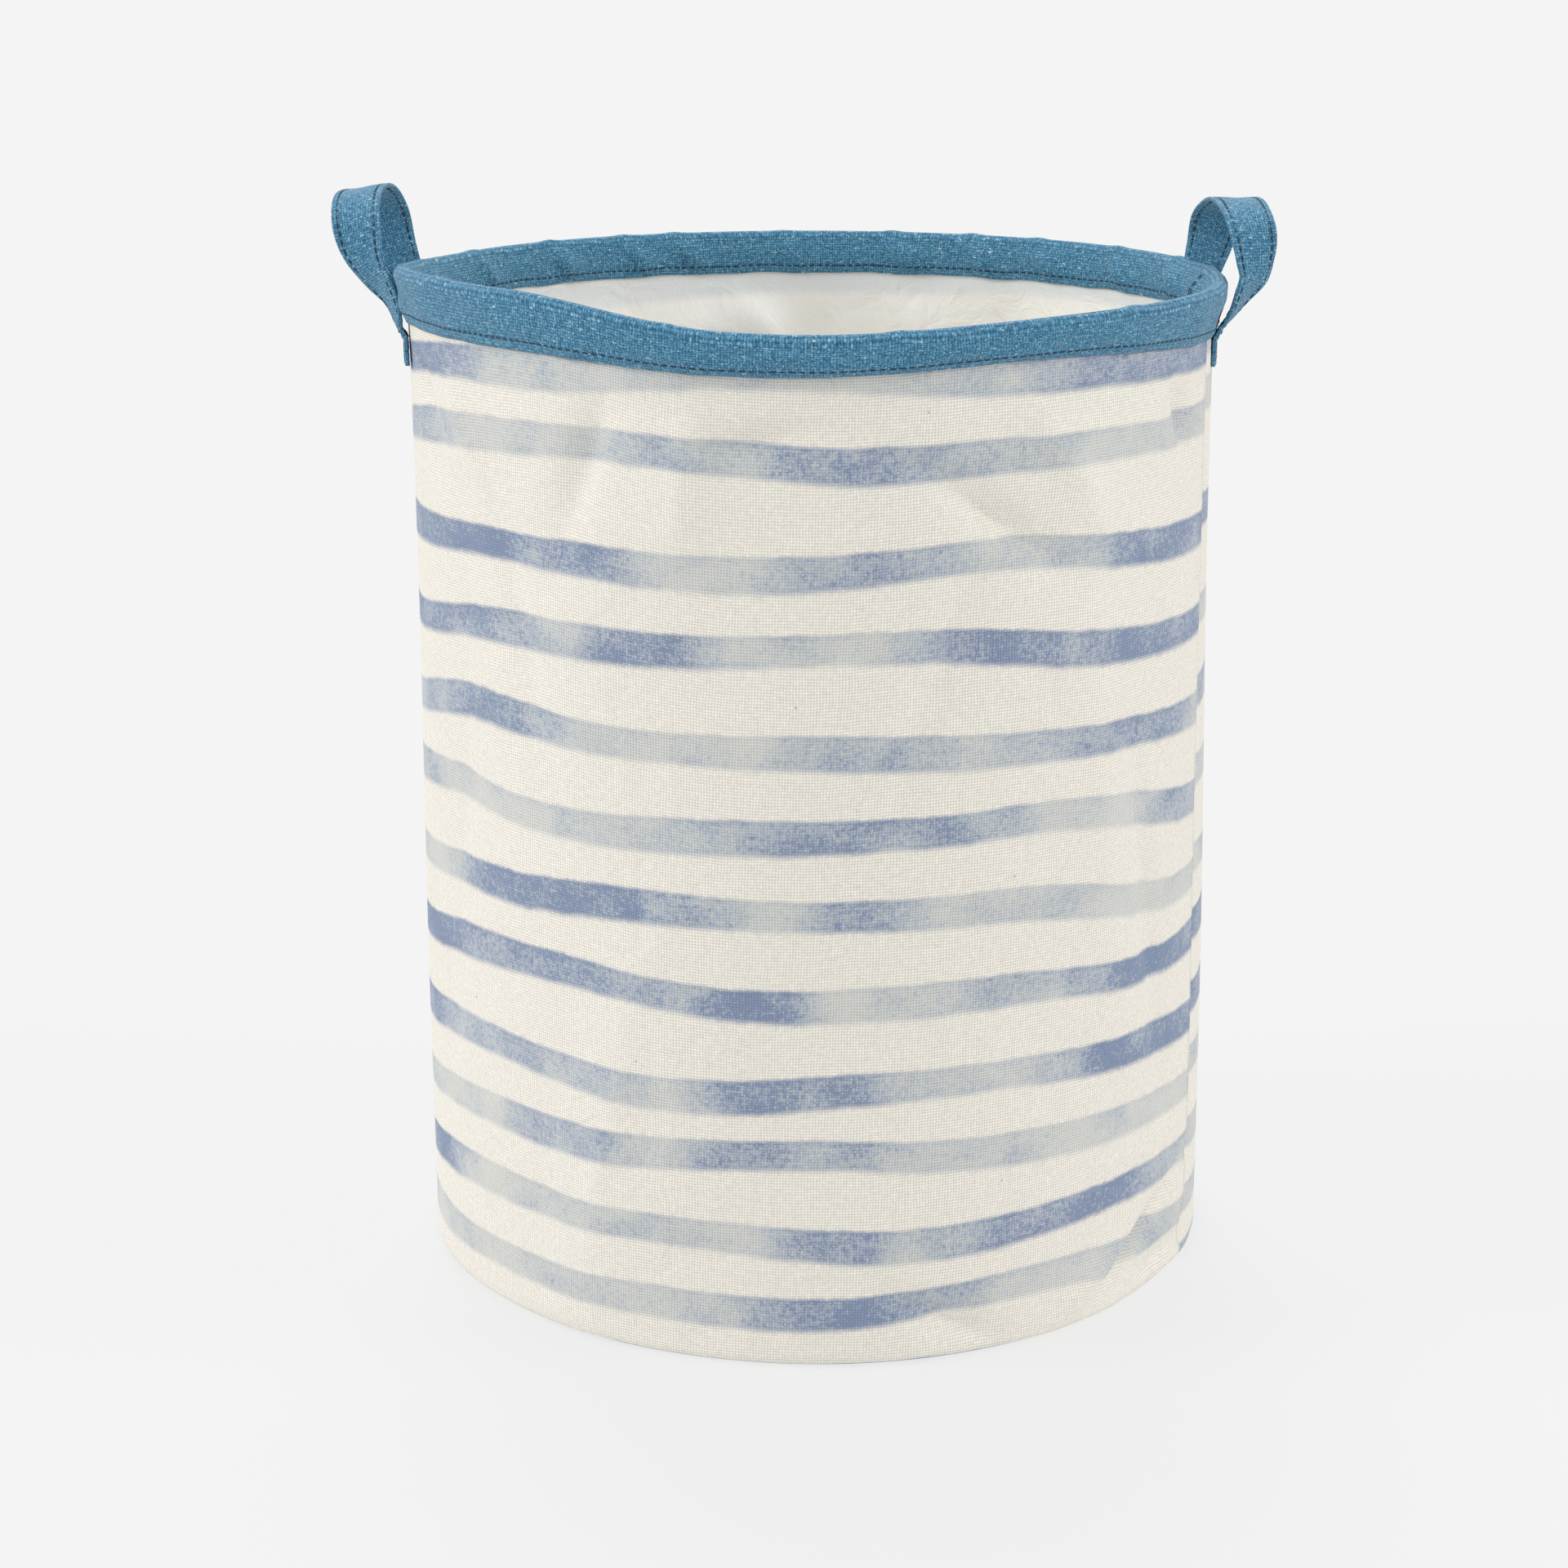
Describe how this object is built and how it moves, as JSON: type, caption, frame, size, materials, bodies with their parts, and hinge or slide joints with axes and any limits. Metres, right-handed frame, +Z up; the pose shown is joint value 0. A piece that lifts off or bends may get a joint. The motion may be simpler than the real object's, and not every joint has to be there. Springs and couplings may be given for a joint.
{
  "type": "collapsible laundry hamper",
  "caption": "Round open-topped fabric hamper with a striped canvas wall, a blue rim band folded over a spring hoop, and strap loop handles at the sides; the wall collapses for storage.",
  "frame": {"origin": "on the floor, on the hamper's upright axis", "axes": "+Z up along the axis, -Y the front, +X towards the right handle"},
  "size_m": [0.4662, 0.414, 0.5397],
  "materials": {
    "printed_canvas": "plain-weave cotton and linen canvas, cream, with a printed watercolour stripe in dusty blue",
    "lining_film": "thin milky film, bonded to the canvas, soft gloss",
    "binding_tape": "cream woven binding tape",
    "cream_thread": "spun sewing thread",
    "band_cloth": "coarse plain-weave canvas dyed teal blue, with pale slubs",
    "navy_thread": "spun navy sewing thread",
    "spring_steel": "drawn spring wire"
  },
  "bodies": {
    "base": {"wall_panel": "printed_canvas", "wall_lining": "lining_film", "base_panel": "printed_canvas", "base_lining": "lining_film", "base_seam_binding": "binding_tape", "base_seam_stitches": "cream_thread", "side_seam_binding": "binding_tape", "side_seam_stitches": "cream_thread"},
    "rim": {"rim_band": "band_cloth", "rim_hoop": "spring_steel", "hoop_ferrule": "spring_steel", "band_stitch_outer": "navy_thread", "band_stitch_inner": "navy_thread", "band_join_stitches": "navy_thread", "right_handle_tails": "band_cloth", "right_tail_stitches": "navy_thread", "left_handle_tails": "band_cloth", "left_tail_stitches": "navy_thread"},
    "right_handle": {"right_handle_strap": "band_cloth", "right_handle_stitches": "navy_thread"},
    "left_handle": {"left_handle_strap": "band_cloth", "left_handle_stitches": "navy_thread"}
  },
  "joints": [
    {"name": "collapse", "type": "slide", "parent": "base", "child": "rim", "axis": [0, 0, -1], "range_m": [0, 0.42], "deforming": ["wall_panel", "wall_lining", "side_seam_binding", "side_seam_stitches"]},
    {"name": "right_handle_swing", "type": "hinge", "parent": "rim", "child": "right_handle", "pos_m": [0.20527, 0.01256, 0.478], "axis": [-0.061, 0.9981, 0], "range_deg": [0, 130]},
    {"name": "left_handle_swing", "type": "hinge", "parent": "rim", "child": "left_handle", "pos_m": [-0.20527, 0.01256, 0.478], "axis": [-0.061, -0.9981, 0], "range_deg": [0, 130]}
  ]
}
